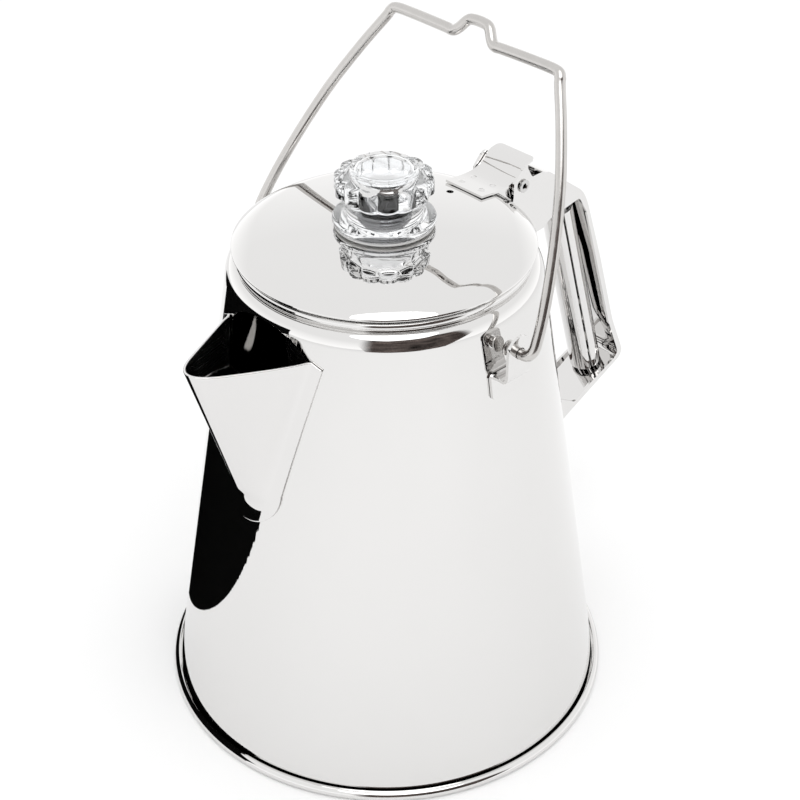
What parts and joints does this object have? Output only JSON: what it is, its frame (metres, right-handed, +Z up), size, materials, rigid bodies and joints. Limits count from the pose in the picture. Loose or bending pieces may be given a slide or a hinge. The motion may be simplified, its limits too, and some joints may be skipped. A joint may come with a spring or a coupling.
{
  "type": "camping coffee percolator",
  "caption": "Polished steel stove-top percolator: conical pot with V spout, hinged lid with clear knob, wire bail, side handle, and a pump tube with basket inside.",
  "frame": {"origin": "centre of the base's flat underside", "axes": "+Z up along the pot's axis; -X towards the spout; +X towards the side handle and the lid hinge; the bail turns about Y"},
  "size_m": [0.3134, 0.25, 0.3734],
  "materials": {
    "polished_steel": "mirror polished stainless sheet",
    "inner_steel": "satin stainless, unpolished inside",
    "hardware": "bright tubular pin and threaded collar",
    "wire": "drawn stainless wire, fine lengthwise grain",
    "clear_knob": "clear moulded plastic",
    "washer": "translucent silicone"
  },
  "bodies": {
    "pot": {"base_pan": "polished_steel", "body_shell": "polished_steel", "spout": "polished_steel", "handle_channel": "polished_steel", "grip_outer_half": "polished_steel", "grip_inner_half": "polished_steel", "hinge_pin": "hardware", "bail_bracket_near": "polished_steel", "bail_bracket_far": "polished_steel"},
    "lid": {"lid_cap": "polished_steel", "lid_sleeve": "inner_steel", "lid_hinge_leaf": "polished_steel", "knob_collar": "hardware"},
    "knob_seat": {"knob_washer": "washer"},
    "knob": {"knob_dome": "clear_knob"},
    "bail": {"bail_wire": "wire"},
    "pump": {"pump_tube": "inner_steel", "pump_foot": "inner_steel", "stop_collar": "inner_steel"},
    "basket": {"basket_cup": "inner_steel", "basket_hub": "inner_steel"},
    "spreader_lid": {"spreader": "inner_steel"}
  },
  "joints": [
    {"name": "lid_hinge", "type": "hinge", "parent": "pot", "child": "lid", "pos_m": [0.0868, 0, 0.2777], "axis": [0, 1, 0], "range_deg": [0, 43]},
    {"name": "knob_lift", "type": "slide", "parent": "lid", "child": "knob_seat", "axis": [0, 0, 1], "range_m": [0, 0.00376]},
    {"name": "knob_turn", "type": "hinge", "parent": "knob_seat", "child": "knob", "pos_m": [0, 0, 0.29], "axis": [0, 0, 1], "range_deg": [0, 540]},
    {"name": "bail_swing", "type": "hinge", "parent": "pot", "child": "bail", "pos_m": [0, 0, 0.249], "axis": [0, 1, 0], "range_deg": [-153, 50]},
    {"name": "pump_lift", "type": "slide", "parent": "pot", "child": "pump", "axis": [0, 0, 1], "range_m": [0, 0.008]},
    {"name": "basket_lift", "type": "slide", "parent": "pump", "child": "basket", "axis": [0, 0, 1], "range_m": [0, 0.006]},
    {"name": "spreader_lift", "type": "slide", "parent": "basket", "child": "spreader_lid", "axis": [0, 0, 1], "range_m": [0, 0.005]}
  ],
  "couplings": [
    {"joint": "knob_lift", "follows": "knob_turn", "m_per_rad": 0.00039789}
  ]
}
